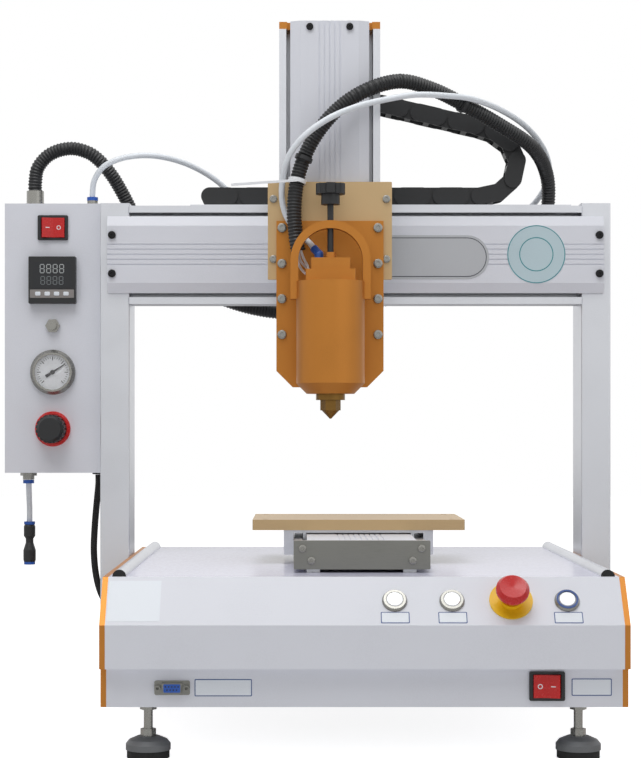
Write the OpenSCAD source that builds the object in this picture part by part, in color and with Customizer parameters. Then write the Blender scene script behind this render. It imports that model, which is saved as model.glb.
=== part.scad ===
// Desktop dispensing robot: a hot-melt head on a three-axis gantry, over a sliding work platform.
// Millimetres. Front of the machine faces -Y, +Z is up, and the feet stand on Z = 0.

/* [Base] */
// Width of the base between the outer faces of its side plates
base_w = 460; // [400:1:560]
// Depth of the base from its front face to its back panel
base_d = 450; // [420:1:520]
// Height of the base body above its feet
base_h = 112; // [100:1:130]
// Height of the levelling feet
foot_h = 49; // [42:1:60]
// Thickness of the gold side plates
side_t = 5; // [4:0.5:8]
// Thickness of the folded and extruded base panels
panel_t = 3; // [2:0.5:4]
// Height of the sloped button panel
slope_h = 39.5; // [34:0.5:44]
// Depth of the sloped button panel
slope_d = 31; // [26:0.5:36]
// Height of the recessed lower band
band_h = 34.5; // [32:0.5:38]
// Depth of that recess
band_step = 12; // [8:0.5:16]

/* [Gantry] */
// Width of each post, beside the base
post_w = 30; // [24:1:40]
// Depth of each post
post_d = 60; // [50:1:80]
// Height of the top of the posts above the table
post_top = 521; // [500:1:560]
// Distance of the posts' front face from the front of the base
post_y = 293; // [285:1:310]

/* [Linear modules] */
// Width of the X and Z module bodies
module_w = 100; // [94:1:110]
// Depth of a module from its back to the front of its cover
module_d = 40; // [38:1:46]
// Width of the module's fixed cover
cover_w = 78; // [72:1:82]
// Width of the Y module body
y_module_w = 124; // [116:1:130]
// Height of the Y module from deck to cover top
y_module_h = 29; // [28:1:34]
// Diameter of the lead screws
screw_d = 10; // [8:1:12]
// Length of the Z column
z_column_l = 344; // [320:1:380]
// Height of the top of the Z column above the table
z_column_top = 694; // [680:1:720]

/* [Head] */
// Position of the head across the machine in the stored pose
head_x = -27; // [-100:1:100]
// Diameter of the heated barrel
barrel_d = 66; // [56:1:68]
// Height of the barrel's cylinder
barrel_h = 98; // [80:1:120]
// Height of the nozzle tip above the table
tip_z = 301; // [290:1:320]
// Diameter of the push rod
rod_d = 6; // [5:0.5:8]

/* [Work platform] */
// Width of the work platform
platform_w = 204; // [180:1:240]
// Depth of the work platform
platform_d = 125; // [110:1:150]
// Thickness of the work platform
platform_t = 10; // [8:1:14]
// Distance of the platform's front edge from the front of the base
platform_y = 181; // [170:1:190]
// Diameter of the fixture holes in the platform
fixture_hole_d = 5.4; // [4.4:0.1:6.6]
// Spacing of the fixture holes across the platform
fixture_pitch_x = 180; // [160:1:190]
// Spacing of the fixture holes along the platform
fixture_pitch_y = 100; // [80:1:104]

/* [Control box] */
// Width of the control box
box_w = 99; // [90:1:120]
// Depth of the control box
box_d = 100; // [90:1:120]
// Height of the control box
box_h = 276; // [270:1:300]
// Height of the underside of the control box above the table
box_z = 246; // [240:1:250]
// Side of the square temperature controller
controller_w = 48; // [44:1:52]
// Diameter of the pressure gauge
gauge_d = 46; // [40:1:50]

/* [Controls] */
// Diameter of a push-button bezel
button_d = 22; // [19:0.5:24]
// Travel of a push-button
button_travel = 2; // [1:0.5:3]
// Diameter of the emergency-stop cap
estop_d = 29; // [26:1:32]
// Travel of the emergency-stop cap
estop_travel = 4; // [3:0.5:5]

/* [Hoses] */
// Outer diameter of the corrugated conduit
conduit_d = 15; // [13:0.5:15]
// Outer diameter of the air tube
tube_d = 6; // [5:0.5:6]
// Outer diameter of the box's cable
cable_d = 7; // [6:0.5:8]

/* [Clearances] */
// Gap between pieces that slide past each other
slide_gap = 0.5; // [0.3:0.1:0.6]
// Radial gap of a shaft in its bore
bore_gap = 0.08; // [0.05:0.01:0.1]
// Gap of a button or rocker in its frame
button_gap = 0.3; // [0.2:0.05:0.4]
// Gap between a hose's or cable's end and the fitting that it goes to
hose_gap = 0.4; // [0.3:0.1:0.8]

/* [Hidden] */
$fn = 64;

gold = "goldenrod";
tan = "burlywood";
silver = "gainsboro";
steel = "dimgray";

// Levels of the base
deck_z = foot_h + base_h;
deck_t = 4;
floor_t = 2;
slope_z = deck_z - slope_h;
band_z = foot_h + band_h;
inner_w = base_w - 2 * side_t;
slope_len = norm([slope_d, slope_h]);
slope_tilt = atan2(slope_h, slope_d);
// How far the panel's inner slope lies behind its outer slope, measured along Y and along Z
slope_dy = panel_t * slope_len / slope_h;
deck_front = slope_d + slope_dy;

// Feet
foot_x = base_w / 2 - 39;
foot_inset = 45;
foot_d = 40;
pad_h = 7;
cup_h = 12;
stud_d = 8;
stud_nut = 13;
stud_nut_h = 6.5;

// Section of the X and Z modules: u across, v from the back to the front
web_t = 8;
bar_w = (module_w - cover_w) / 2 - 4;
bar_d = module_d - 6;
cover_lip_v = module_d - 10;
cover_lip_t = 2;
cover_chamfer = 10;
cover_drop = 4;
groove_pitch = 5.1;
groove_w = 1.2;
groove_depth = 0.8;
rail_w = 12;
rail_h = 7;
rail_u = 24;
screw_v = 22;
arm_t = 3;
arm_u = cover_w / 2 + slide_gap;
arm_reach = module_d + 1;
slider_v = web_t + rail_h + 0.3;
slider_top = cover_lip_v - slide_gap;
slider_l = 90;

// X beam
beam_z = 468;
beam_front = post_y - (module_d - cover_lip_v);
beam_back = beam_front + module_d;
beam_l = base_w;
beam_cover_l = base_w + 2 * post_w - 16;
post_z = foot_h + 11;
gantry_half = base_w / 2 + post_w;

// Z column and head, in the stored pose
bracket_t = 10;
bracket_front = beam_front - 1 - bracket_t;
z_back = bracket_front;
z_front = z_back - module_d;
z_bottom = z_column_top - z_column_l;
z_mid = 486;
end_block_t = 7;
plate_t = 6;
z_plate_front = z_front - 1 - plate_t;
z_plate_w = 122;
z_plate_h = 96;
z_plate_z = 438;
heater_w = 105;
heater_front = z_plate_front - plate_t;
heater_z = 332;
heater_top = 495;
heater_chamfer = 16;
barrel_r = barrel_d / 2;
barrel_y = heater_front - barrel_r;
nozzle_h = 24;
barrel_cone_h = 10;
barrel_cone_d = 46;
barrel_z = tip_z + nozzle_h + barrel_cone_h;
barrel_top = barrel_z + barrel_h;
cap_low_h = 11;
cap_high_h = 11;
cap_collar_h = 6;
cap_top = barrel_top + cap_low_h + cap_high_h + cap_collar_h;
arch_bar = 7.5;
arch_t = 12;
arch_r = barrel_r + 5.5;
arch_z = 453;
arch_leg_z = 416;
knob_z = 507;
knob_hub_d = 18;
knob_d = 29;
knob_h = 20;
rod_bottom = barrel_top - 30;

// Y module
y_runner_h = 5;
y_module_z = deck_z + y_runner_h;
y_start = 87;
y_end = base_d - 22;
y_len = y_end - y_start;
y_plate_t = 8;
y_cover_w = y_module_w - 2 * (4 + 8);
y_cover_top = deck_z + y_module_h;
y_bar_top = y_cover_top - 4;
y_web_t = 4;
y_cover_t = 2.5;
y_lip = 3;
y_rail_u = 34;
y_rail_h = 4;
y_slider_v = y_runner_h + y_web_t + y_rail_h + 0.3;
y_slider_top = y_module_h - y_lip - y_cover_t - slide_gap;
y_screw_d = screw_d - 3;
y_screw_v = (y_slider_v + y_slider_top) / 2;
carriage_t = 3;
carriage_z = y_cover_top + 1;
carriage_side_t = 10;
carriage_side_gap = 0.5;
platform_z = carriage_z + carriage_t;

// Control box and what is on it
box_left = -gantry_half - box_w;
box_mid = -gantry_half - box_w / 2;
box_front = 305;
box_top = box_z + box_h;
box_wall = 1.5;
box_switch_z = 497;
controller_z = 443;
bleed_z = 396.5;
gauge_z = 349;
regulator_z = 291;
switch_w = 31;
switch_h = 25.5;
switch_bezel = 2.5;
rocker_w = 24;
rocker_h = 20;
rocker_tilt = 8;
rocker_ease = 0.7;
regulator_d = 36;
regulator_knob_d = 29;
regulator_knob_l = 26;
conduit_gland = [box_left + 25, 350];
tube_gland = [-gantry_half - 14, 350];
inlet_gland = [box_left + 18, 350];
inlet_fitting_l = 8;
cable_gland = [-gantry_half - 10, 372];

// Base front controls, set in from the ends of the base
button_xs = [for (inset = [203.5, 153.5, 53]) base_w / 2 - inset];
estop_inset = 102;
estop_x = base_w / 2 - estop_inset;
power_switch_inset = 71;
power_switch_x = base_w / 2 - power_switch_inset;
power_switch_z = 67.5;
serial_inset = 62.5;
serial_x = serial_inset - base_w / 2;
serial_z = 66;
bezel_h = 3;
button_face_d = button_d - 7;
button_body_d = 18;
button_body_l = 22;
estop_collar_d = 38;
estop_stem_d = 20;
estop_collar_h = 6;
estop_cap_h = 13;

// Cable chain, laid on its tray behind the beam
chain_pitch = 20;
chain_h = 18;
chain_w = 26;
chain_plate_t = 2;
chain_y = 339;
chain_tray_t = 2;
chain_bracket_w = 44;
chain_z = post_top + chain_tray_t + chain_h / 2 + 0.3;
chain_start = -150;
chain_low_links = 14;
chain_turn = [12, 30, 36, 36, 30, 18, 5];
chain_top = [0, 0, 0, 0, 13, 0];

// Push-in fitting on the barrel's cap: its foot, the way its collar points and the collar's end
fitting_foot = [head_x - 11, barrel_y + 8, barrel_top + cap_low_h + cap_high_h];
fitting_foot_h = 5;
fitting_collar_l = 9;
fitting_dir = [-0.55, 0.45, 0.70] / norm([-0.55, 0.45, 0.70]);
fitting_end = fitting_foot + [0, 0, fitting_foot_h] + fitting_collar_l * fitting_dir;

// Routes of the hoses, from the control box to the head
conduit_route = [
  [-334, 350, 540.4], [-334, 350, 549], [-331, 350, 565], [-318, 350, 579], [-297, 351, 585],
  [-275, 354, 579], [-257, 361, 561], [-243, 367, 538], [-230, 370, 512], [-214, 371, 488],
  [-192, 371, 463], [-162, 370, 440], [-126, 369, 424], [-85, 369, 415], [-40, 369, 415],
  [5, 369, 421], [50, 369, 432], [100, 369, 443], [145, 369, 453], [180, 369, 470],
  [199, 368, 495], [205, 364, 524], [202, 347, 556], [183, 312, 580], [145, 285, 600],
  [107, 264, 617], [75, 247, 629], [42, 231, 634], [7, 217, 622], [-22, 212, 601],
  [-45, 210, 571], [-58, 208, 538], [-62, 203.5, 505], [-60.5, 200.6, 479], [-58, 200.4, 464]
];
tube_route = [
  [-274, 350, 530.4], [-274, 350, 538], [-271.5, 347, 552], [-260, 342, 566], [-238, 344, 575],
  [-210, 355, 578], [-180, 371, 573], [-152, 383, 560], [-130, 388, 542], [-112, 390, 521],
  [-88, 391, 502], [-50, 391, 489], [0, 391, 484], [60, 391, 486], [118, 391, 496],
  [165, 390, 511], [194, 387, 532], [207, 372, 558], [200, 345, 580], [178, 312, 600],
  [148, 284, 614], [116, 258, 621], [86, 238, 621], [56, 222, 619], [27, 208, 612],
  [0, 199, 604], [-28, 196, 592], [-52, 196, 575], [-67, 200, 556], [-73, 208, 536],
  [-74, 214, 516], [-70, 215.5, 500], [-62, 215, 487], [-53.5, 210, 478],
  fitting_end + 8 * fitting_dir, fitting_end + hose_gap * fitting_dir
];
side_grommet = [-base_w / 2 - 3, 372, 90];
cable_route = [
  [-270, 372, 242.6], [-270, 372, 232], [-272, 372, 212], [-274, 372, 188], [-275, 372, 162],
  [-273, 372, 138], [-268, 372, 118], [-259, 372, 102], [-250, 372, 93], [-242, 372, 90.2],
  side_grommet - [hose_gap, 0, 0]
];
inlet_top = [inlet_gland[0], inlet_gland[1], box_z - inlet_fitting_l - hose_gap];
inlet_route = [for (p = [[0, 0, 0], [0.5, 0, -15.6], [1, 0, -29.6], [1, 0, -46.6]]) inlet_top + p];

// The origin is under the middle of the whole machine's box, without its hoses
estop_root = [estop_x, slope_d / 2, slope_z + slope_h / 2];
estop_tip_l = estop_collar_h + estop_cap_h + estop_travel;
front_reach = estop_root[1] - estop_tip_l * sin(slope_tilt) - (estop_d / 2 - 3) * cos(slope_tilt);
origin_x = (gantry_half + box_left) / 2;
origin_y = (base_d + front_reach) / 2;

// Shared shapes

// Rectangle with round corners, centred
module round_rect(w, h, r) {
  square([w - 2 * r, h], center = true);
  square([w, h - 2 * r], center = true);
  for (sx = [-1, 1], sy = [-1, 1]) translate([sx * (w / 2 - r), sy * (h / 2 - r)]) circle(r);
}

// Plate in the XZ plane with its back face at y and its outline centred on x, z
module front_plate(x, y, z, t) translate([x, y, z]) rotate([90, 0, 0]) linear_extrude(t) children();

// Moves its children onto the sloped panel, with +Z along the panel's outward normal
module on_slope(x, along = 0)
  translate([x, slope_d / 2, slope_z + slope_h / 2]) rotate([slope_tilt, 0, 0])
    translate([0, along, 0]) children();

// Hexagonal prism
module hex(across_flats, h) cylinder(d = across_flats / cos(30), h = h, $fn = 6);

// U-shaped extrusion of a module body: a web with a bar along each edge
module body_section(w, bar, web, depth) polygon([
  [-w / 2, 0], [w / 2, 0], [w / 2, depth], [w / 2 - bar, depth], [w / 2 - bar, web],
  [-w / 2 + bar, web], [-w / 2 + bar, depth], [-w / 2, depth]
]);

// Cover of an X or Z module: a flat face with five grooves, bevelled edges and lips
module cover_section() difference() {
  polygon([
    [-cover_w / 2, cover_lip_v], [-cover_w / 2, module_d - cover_drop],
    [-cover_w / 2 + cover_chamfer, module_d], [cover_w / 2 - cover_chamfer, module_d],
    [cover_w / 2, module_d - cover_drop], [cover_w / 2, cover_lip_v],
    [cover_w / 2 - cover_lip_t, cover_lip_v], [cover_w / 2 - cover_lip_t, module_d - cover_drop - 2],
    [cover_w / 2 - cover_chamfer, module_d - panel_t], [-cover_w / 2 + cover_chamfer, module_d - panel_t],
    [-cover_w / 2 + cover_lip_t, module_d - cover_drop - 2], [-cover_w / 2 + cover_lip_t, cover_lip_v]
  ]);
  for (i = [-2:2]) translate([i * groove_pitch - groove_w / 2, module_d - groove_depth])
    square([groove_w, groove_depth + 1]);
}

// Slider that runs inside a module, with two arms out through the slots beside the cover
module slider_section() difference() {
  union() {
    translate([-arm_u - arm_t, slider_v]) square([2 * (arm_u + arm_t), slider_top - slider_v]);
    for (s = [-1, 1]) translate([s * (arm_u + arm_t / 2) - arm_t / 2, slider_v])
      square([arm_t, arm_reach - slider_v]);
  }
  translate([0, screw_v]) circle(d = screw_d + 2 * bore_gap);
}

// Turns a module section's u, v and length into Z, -Y and X for the beam
module along_x(x0, l) translate([x0, beam_back, beam_z]) rotate(180, [1, 0, 1]) linear_extrude(l) children();
// Turns them into X, -Y and Z for the column
module along_z(z0, l) translate([head_x, z_back, z0]) mirror([0, 1, 0]) linear_extrude(l) children();
// Turns them into X, Z and Y for the table module
module along_y(y0, l) translate([0, y0 + l, deck_z]) rotate([90, 0, 0]) linear_extrude(l) children();

// Square stepper motor with chamfered corners, its axis along Z and its base at Z = 0
module motor(size, l) linear_extrude(l) intersection() {
  square(size, center = true);
  rotate(45) square(size * 1.24, center = true);
}

// Frame point along a route, smoothed between the points given by hand
function spline(p0, p1, p2, p3, t) =
  0.5 * (2 * p1 + (p2 - p0) * t + (2 * p0 - 5 * p1 + 4 * p2 - p3) * t * t
         + (3 * p1 - p0 - 3 * p2 + p3) * t * t * t);
function route_point(route, i, t) = let (n = len(route) - 1)
  spline(route[max(i - 1, 0)], route[i], route[min(i + 1, n)], route[min(i + 2, n)], t);
function smooth_route(route, steps) = concat(
  [for (i = [0:len(route) - 2], k = [0:steps - 1]) route_point(route, i, k / steps)],
  [route[len(route) - 1]]
);
function unit(v) = v / norm(v);
function tangent(path, i) = unit(path[min(i + 1, len(path) - 1)] - path[max(i - 1, 0)]);
// Ring of points around a path point, square to the path
function ring(path, i, r, sides) = let (
  t = tangent(path, i), a = unit(cross(t, abs(t[1]) < 0.9 ? [0, 1, 0] : [1, 0, 0])), b = cross(t, a)
) [for (k = [0:sides - 1]) path[i] + r * (cos(360 * k / sides) * a + sin(360 * k / sides) * b)];

// Tube swept along a route
module swept_tube(route, d, sides, steps) {
  path = smooth_route(route, steps);
  n = len(path);
  polyhedron(
    points = [for (i = [0:n - 1]) each ring(path, i, d / 2, sides)],
    faces = concat(
      [[for (k = [0:sides - 1]) k]],
      [for (i = [0:n - 2], k = [0:sides - 1]) let (m = (k + 1) % sides)
        [i * sides + k, (i + 1) * sides + k, (i + 1) * sides + m, i * sides + m]],
      [[for (k = [sides - 1:-1:0]) (n - 1) * sides + k]]
    )
  );
}

// Base

// Side view of the base, as Y and Z
module base_outline() polygon([
  [slope_d, deck_z], [0, slope_z], [0, band_z], [band_step, band_z], [band_step, foot_h],
  [base_d, foot_h], [base_d, deck_z]
]);

module base_front_panel() color(silver) difference() {
  rotate([90, 0, 90]) translate([0, 0, -inner_w / 2]) linear_extrude(inner_w) polygon([
    [slope_d, deck_z], [0, slope_z], [0, band_z], [band_step, band_z], [band_step, foot_h],
    [band_step + panel_t, foot_h], [band_step + panel_t, band_z + panel_t], [panel_t, band_z + panel_t],
    [panel_t, slope_z - (slope_dy - panel_t) * slope_h / slope_d], [deck_front, deck_z]
  ]);
  for (x = button_xs) on_slope(x) cylinder(d = button_body_d, h = 40, center = true);
  on_slope(estop_x) cylinder(d = estop_stem_d, h = 40, center = true);
  translate([power_switch_x, band_step, power_switch_z])
    cube([rocker_w + 3, 4 * panel_t, rocker_h + 2], center = true);
  translate([serial_x, band_step, serial_z]) cube([19, 4 * panel_t, 10], center = true);
}

module base_side_plates() color(gold) for (x = [-base_w / 2, inner_w / 2]) difference() {
  translate([x, 0, 0]) rotate([90, 0, 90]) linear_extrude(side_t) base_outline();
  if (x < 0) translate([x, side_grommet[1], side_grommet[2]]) rotate([0, 90, 0])
    cylinder(d = cable_d + 4, h = 4 * side_t, center = true);
}

module base_deck() color("lavender") translate([-inner_w / 2, deck_front, deck_z - deck_t])
  cube([inner_w, base_d - deck_front, deck_t]);

// Floor and back of the base, folded from one sheet
module base_tray() color("silver") difference() {
  rotate([90, 0, 90]) translate([0, 0, -inner_w / 2]) linear_extrude(inner_w) polygon([
    [band_step + panel_t, foot_h], [base_d, foot_h], [base_d, deck_z - deck_t],
    [base_d - floor_t, deck_z - deck_t], [base_d - floor_t, foot_h + floor_t],
    [band_step + panel_t, foot_h + floor_t]
  ]);
  for (x = [-1, 1], y = [foot_inset, base_d - foot_inset]) translate([x * foot_x, y, foot_h - 1])
    cylinder(d = stud_d + 2 * bore_gap, h = floor_t + 2);
}

// Half-round cable trunking along both edges of the deck
trunking_r = 6;
trunking_x = inner_w / 2 - 9;
module trunking_section() intersection() {
  circle(trunking_r);
  translate([-trunking_r, 0]) square([2 * trunking_r, trunking_r]);
}
module deck_trunking() color(silver) for (s = [-1, 1])
  translate([s * trunking_x, base_d - 2, deck_z]) rotate([90, 0, 0])
    linear_extrude(base_d - 2 - deck_front - 3)
    difference() {
      trunking_section();
      translate([0, -1]) scale(0.8) trunking_section();
    }

module feet_at() for (x = [-foot_x, foot_x], y = [foot_inset, base_d - foot_inset])
  translate([x, y, 0]) children();

module foot_pads() color("black") feet_at() cylinder(d = foot_d - 2, h = pad_h);
module foot_cups() color(steel) feet_at() translate([0, 0, pad_h]) rotate_extrude() polygon([
  [0, 0], [foot_d / 2, 0], [foot_d / 2, cup_h * 0.45], [foot_d / 2 - 3, cup_h * 0.75],
  [foot_d / 4, cup_h], [0, cup_h]
]);
module foot_studs() color(steel) feet_at() {
  translate([0, 0, pad_h + cup_h]) {
    hex(stud_nut - 1, stud_nut_h);
    cylinder(d = stud_d, h = foot_h + floor_t + 6 - pad_h - cup_h);
  }
  translate([0, 0, foot_h - stud_nut_h]) difference() {
    hex(stud_nut, stud_nut_h);
    translate([0, 0, -1]) cylinder(d = stud_d, h = stud_nut_h + 2);
  }
}

// Power supply, controller board on its standoffs and three motor drivers, on the floor of the base
psu = [110, 200, 50];
board = [140, 180, 2];
driver = [28, 80, 40];
module electronics() color("seagreen") translate([0, 0, foot_h + floor_t]) {
  translate([-200, 120, 0]) cube(psu);
  translate([-60, 120, 0]) {
    translate([0, 0, 10]) cube(board);
    for (x = [6, board[0] - 6], y = [6, board[1] - 6]) translate([x, y, 0]) cylinder(d = 6, h = 10);
  }
  for (i = [0:2]) translate([100 + i * (driver[0] + 8), 140, 0]) cube(driver);
}

motor_w = 42;
motor_l = 32;
module stepper_motors() color("black") {
  translate([0, y_end - 50, deck_z - deck_t - motor_w / 2]) rotate([-90, 0, 0]) motor(motor_w, motor_l + 8);
  translate([-beam_l / 2 + 6, beam_back + motor_l / 2, beam_z]) rotate([0, 90, 0])
    motor(motor_l, motor_w);
}

// Fixed rails and lead screws of the Y and X axes
module axis_guides() color(silver) {
  for (s = [-1, 1]) {
    along_y(y_start, y_len) translate([s * y_rail_u - rail_w / 2, y_runner_h + y_web_t])
      square([rail_w, y_rail_h]);
    along_x(-beam_l / 2, beam_l) translate([s * rail_u - rail_w / 2, web_t]) square([rail_w, rail_h]);
  }
  along_y(y_start, y_len) translate([0, y_screw_v]) circle(d = y_screw_d);
  along_x(-beam_l / 2, beam_l) translate([0, screw_v]) circle(d = screw_d);
}

// Y axis

module y_module_body() color(silver) along_y(y_start, y_len) {
  translate([0, y_runner_h]) body_section(y_module_w, 8, y_web_t, y_bar_top - y_module_z);
  for (s = [-1, 1]) translate([s * 44 - 6, 0]) square([12, y_runner_h]);
}
module y_module_cover() color("whitesmoke") along_y(y_start, y_len) difference() {
  translate([-y_cover_w / 2, y_module_h - y_lip - y_cover_t]) square([y_cover_w, y_lip + y_cover_t]);
  translate([-y_cover_w / 2 + cover_lip_t, y_module_h - y_lip - 2 * y_cover_t])
    square([y_cover_w - 2 * cover_lip_t, y_lip + y_cover_t]);
  for (i = [-4:4]) translate([i * groove_pitch - groove_w / 2, y_module_h - groove_depth])
    square([groove_w, groove_depth + 1]);
}
y_end_bolts = [[-54, y_cover_top - 7], [54, y_cover_top - 7], [-46, deck_z + 13], [46, deck_z + 13]];
module y_end_plates() color("gray") for (y = [y_start, y_end + y_plate_t])
  translate([0, y, (deck_z + 3 + y_cover_top) / 2]) rotate([90, 0, 0]) linear_extrude(y_plate_t)
    round_rect(y_module_w, y_cover_top - deck_z - 3, 1);

// Carriage: a slider on the rails, two arms past the cover, a top plate and two side blocks
y_slider_l = platform_d - 15;
y_slider_y = platform_y + 7.5;
y_arm_u = y_cover_w / 2 + slide_gap;
module y_carriage() color(silver) along_y(y_slider_y, y_slider_l) difference() {
  union() {
    translate([-y_arm_u - arm_t, y_slider_v]) square([2 * (y_arm_u + arm_t), y_slider_top - y_slider_v]);
    for (s = [-1, 1]) translate([s * (y_arm_u + arm_t / 2) - arm_t / 2, y_slider_v])
      square([arm_t, carriage_z - deck_z - y_slider_v + 1]);
    translate([-y_module_w / 2 - carriage_side_t, carriage_z - deck_z])
      square([y_module_w + 2 * carriage_side_t, carriage_t]);
    for (s = [-1, 1])
      translate([s * (y_module_w / 2 + (carriage_side_t + carriage_side_gap) / 2)
                 - (carriage_side_t - carriage_side_gap) / 2, y_runner_h + 4])
        square([carriage_side_t - carriage_side_gap, carriage_z + carriage_t - y_module_z - 4]);
  }
  translate([0, y_screw_v]) circle(d = y_screw_d + 2 * bore_gap);
}
module y_platform() color(tan) translate([0, platform_y + platform_d / 2, platform_z])
  linear_extrude(platform_t)
  difference() {
    round_rect(platform_w, platform_d, 2);
    for (x = [-1, 1], y = [-1, 1]) translate([x * fixture_pitch_x / 2, y * fixture_pitch_y / 2])
      circle(d = fixture_hole_d);
  }

// Gantry

// Hollow post with a shallow slot down its outer face
module post_section() difference() {
  round_rect(post_w, post_d, 1.5);
  round_rect(post_w - 6, post_d - 6, 1);
}
module gantry_posts() color(silver) for (s = [-1, 1])
  translate([s * (base_w + post_w) / 2, post_y + post_d / 2, post_z]) {
    linear_extrude(post_top - post_z) post_section();
    translate([0, 0, post_top - post_z - 3]) linear_extrude(3) round_rect(post_w - 2, post_d - 2, 1);
  }

module x_beam_body() color(silver) along_x(-beam_l / 2, beam_l) body_section(module_w, bar_w, web_t, bar_d);
module x_beam_cover() color("white") along_x(-beam_cover_l / 2, beam_cover_l) cover_section();

// Folded tray that carries the lower run of the cable chain behind the beam
module chain_tray() color(silver) rotate([90, 0, 90]) translate([0, 0, chain_start - 20])
  linear_extrude(base_w / 2 - 6 - chain_start + 20) polygon([
    [beam_back, post_top - 30], [beam_back + 2, post_top - 30], [beam_back + 2, post_top],
    [chain_y + chain_w / 2 + 2, post_top], [chain_y + chain_w / 2 + 2, post_top + chain_tray_t],
    [beam_back, post_top + chain_tray_t]
  ]);

// Cable chain: each link pivots on the next, flat on its tray, round the bend and back to the column
function running(list, i) = i < 0 ? 0 : list[i] + running(list, i - 1);
chain_bend = concat(chain_turn, chain_top);
chain_angles = concat(
  [for (i = [1:chain_low_links]) 0],
  [for (i = [0:len(chain_bend) - 1]) running(chain_bend, i)]
);
function chain_pin(i) = i == 0 ? [chain_start, chain_z]
  : chain_pin(i - 1) + chain_pitch * [cos(chain_angles[i - 1]), sin(chain_angles[i - 1])];
// One link: two side plates with round ends, joined by a bar above and below
module chain_link(outer) rotate([90, 0, 0]) {
  half = outer ? chain_w / 2 : chain_w / 2 - chain_plate_t - 0.3;
  for (s = [-1, 1]) translate([0, 0, s * (half - chain_plate_t / 2) - chain_plate_t / 2])
    linear_extrude(chain_plate_t) union() {
      circle(d = chain_h, $fn = 32);
      translate([chain_pitch, 0]) circle(d = chain_h, $fn = 32);
      translate([0, -chain_h / 2]) square([chain_pitch, chain_h]);
    }
  for (s = [-1, 1]) translate([chain_pitch / 2, s * (chain_h / 2 - 0.75), 0])
    cube([6, 1.5, 2 * half], center = true);
}
module cable_chain() color("black") for (i = [0:len(chain_angles) - 1]) let (p = chain_pin(i))
  translate([p[0], chain_y, p[1]]) rotate([0, -chain_angles[i], 0]) chain_link(i % 2 == 0);

// X carriage and Z column

module x_slider() color("silver") {
  along_x(head_x - slider_l / 2, slider_l) slider_section();
  translate([head_x - slider_l / 2, bracket_front, beam_z - arm_u - arm_t])
    cube([slider_l, bracket_t, 2 * (arm_u + arm_t)]);
}
module z_column_body() color(silver) along_z(z_bottom + end_block_t, z_column_l - 2 * end_block_t)
  body_section(module_w, bar_w, web_t, bar_d);
module z_column_cover() color("white") along_z(z_bottom, z_column_l) cover_section();
module z_end_blocks() color(gold) for (z = [z_bottom, z_column_top - end_block_t]) along_z(z, end_block_t)
  difference() {
    translate([-module_w / 2, 0]) square([module_w, bar_d]);
    for (s = [-1, 1]) translate([s * cover_w / 2 - 3, cover_lip_v - 0.2]) square([6, module_d]);
  }
module z_guides() color(silver) along_z(z_bottom + end_block_t, z_column_l - 2 * end_block_t) {
  for (s = [-1, 1]) translate([s * rail_u - rail_w / 2, web_t]) square([rail_w, rail_h]);
  translate([0, screw_v]) circle(d = screw_d);
}
module z_motor() color("black") translate([head_x, z_back + motor_l / 2, z_column_top - motor_w - 6])
  motor(motor_l, motor_w);

// Folded bracket from the back of the column to the moving end of the chain
chain_end = chain_pin(len(chain_angles));
module chain_bracket() color(silver) {
  z0 = chain_end[1] - chain_h / 2 - 0.3 - chain_tray_t;
  translate([head_x + 5, z_back, z0 - 20]) cube([chain_bracket_w, 3, 20 + chain_tray_t]);
  translate([head_x + 5, z_back, z0]) cube([chain_bracket_w, chain_y + chain_w / 2 - z_back, chain_tray_t]);
}

// Z carriage and head

module z_slider() color("silver") along_z(z_mid - slider_l / 2, slider_l) slider_section();
module z_plate() color(tan) front_plate(head_x, z_front - 1, z_plate_z + z_plate_h / 2, plate_t)
  round_rect(z_plate_w, z_plate_h, 1);
module heater_plate() color(gold) front_plate(head_x, z_plate_front, 0, plate_t) polygon([
  [-heater_w / 2 + heater_chamfer, heater_z], [heater_w / 2 - heater_chamfer, heater_z],
  [heater_w / 2, heater_z + heater_chamfer], [heater_w / 2, heater_top],
  [-heater_w / 2, heater_top], [-heater_w / 2, heater_z + heater_chamfer]
]);
module heater_barrel() color(gold) translate([head_x, barrel_y, 0]) difference() {
  union() {
    translate([0, 0, barrel_z]) cylinder(d = barrel_d, h = barrel_h);
    translate([0, 0, barrel_z - barrel_cone_h])
      cylinder(d1 = barrel_cone_d, d2 = barrel_d, h = barrel_cone_h);
    translate([-20, 0, barrel_z + 8]) cube([40, barrel_r, barrel_h - 30]);
  }
  translate([0, 0, barrel_z]) cylinder(d = barrel_d - 20, h = barrel_h + 1);
}
// Clamp blocks and guide collar on top of the barrel
module barrel_cap() color(gold) translate([head_x, barrel_y, barrel_top]) difference() {
  union() {
    linear_extrude(cap_low_h) difference() {
      round_rect(barrel_d - 18, 36, 2);
      for (s = [-1, 1]) translate([s * 16, 0]) square([10, 14], center = true);
    }
    translate([0, 0, cap_low_h]) linear_extrude(cap_high_h) round_rect(38, 30, 2);
    translate([0, 0, cap_low_h + cap_high_h]) cylinder(d = rod_d + 5, h = cap_collar_h);
  }
  translate([0, 0, -1]) cylinder(d = rod_d + 2 * bore_gap, h = 60);
}
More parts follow.
